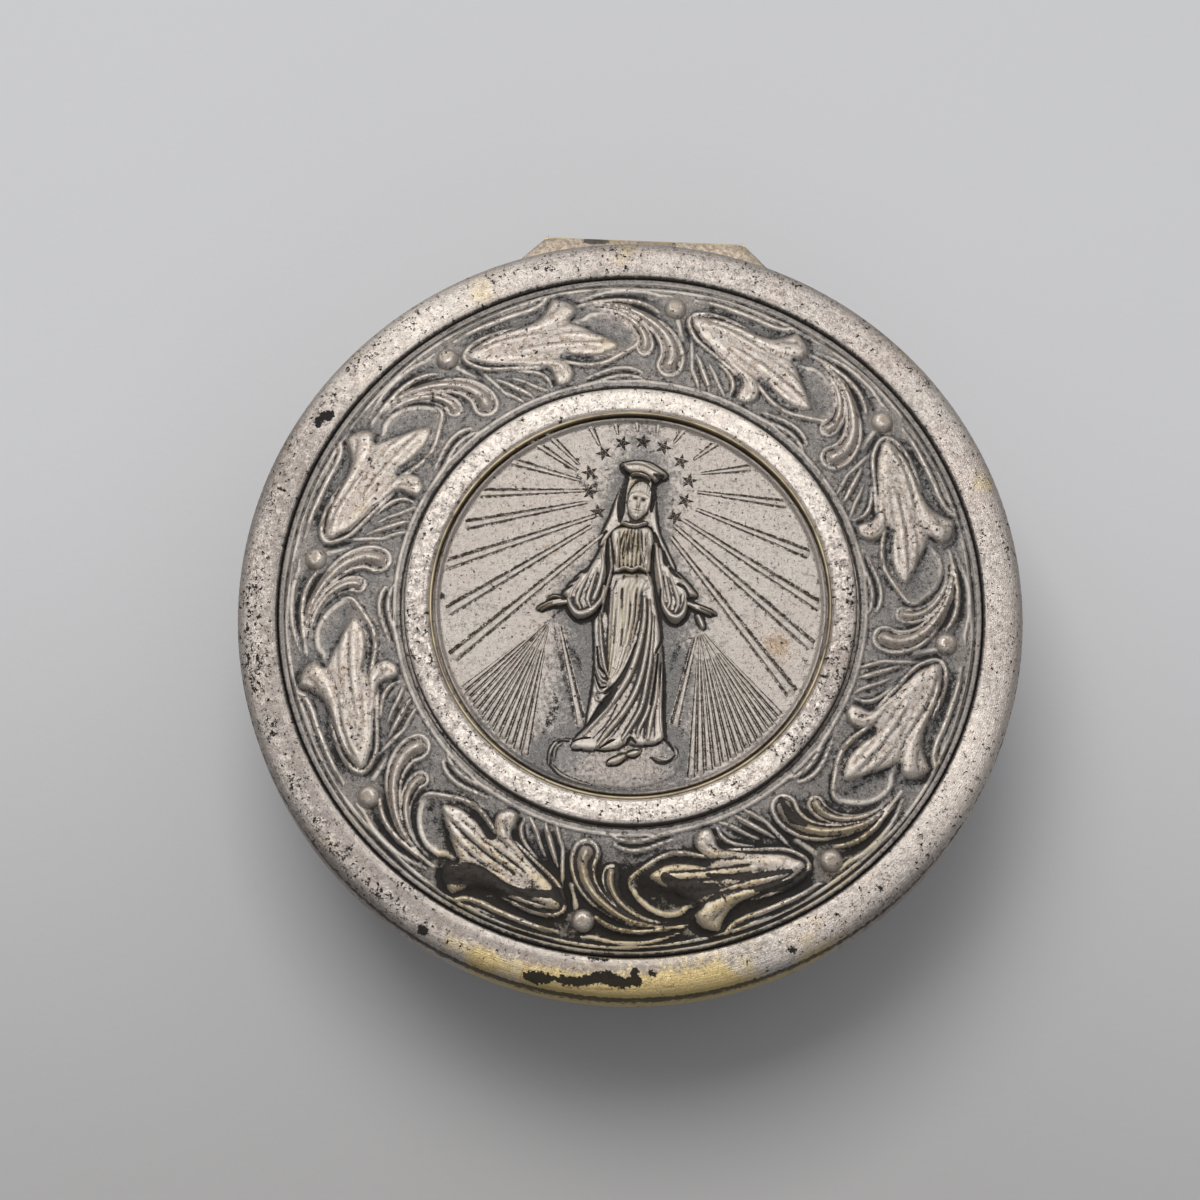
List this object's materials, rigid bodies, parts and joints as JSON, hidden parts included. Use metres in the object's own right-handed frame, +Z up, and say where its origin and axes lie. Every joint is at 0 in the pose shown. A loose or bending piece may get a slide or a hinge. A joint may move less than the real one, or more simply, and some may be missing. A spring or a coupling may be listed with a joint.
{
  "type": "rosary box",
  "caption": "Small round hinged metal box with a bowl-shaped base and a lid of pressed scroll leaves round a set devotional medal.",
  "frame": {"origin": "centre of the flat foot, on the surface that the box stands on", "axes": "+Z up along the axis of the round box, +Y towards the hinge, +X to the right as seen from the front"},
  "size_m": [0.057, 0.0581, 0.0201],
  "materials": {
    "base_silver": "worn silver plate over brass",
    "inner_gilt": "plain gilt brass, dulled",
    "hinge_brass": "bare rubbed brass",
    "pin_steel": "drawn steel",
    "rim_silver": "pitted silver plate, rubbed to brass in front",
    "panel_silver": "antiqued silver plate, dark in the hollows",
    "ring_silver": "pitted silver plate",
    "medal_silver": "antiqued silver plate, dark in the hollows"
  },
  "bodies": {
    "base": {"base_bowl": "base_silver", "base_collar": "inner_gilt", "base_hinge_leaf": "hinge_brass", "hinge_pin": "pin_steel"},
    "lid": {"lid_hinge_leaf": "hinge_brass", "lid_rim": "rim_silver", "leaf_panel": "panel_silver", "medallion_ring": "ring_silver", "medallion": "medal_silver", "lid_backing_disc": "inner_gilt"}
  },
  "joints": [
    {"name": "lid_hinge", "type": "hinge", "parent": "base", "child": "lid", "pos_m": [0, 0.02855, 0.0145], "axis": [-1, 0, 0], "range_deg": [0, 98]}
  ]
}
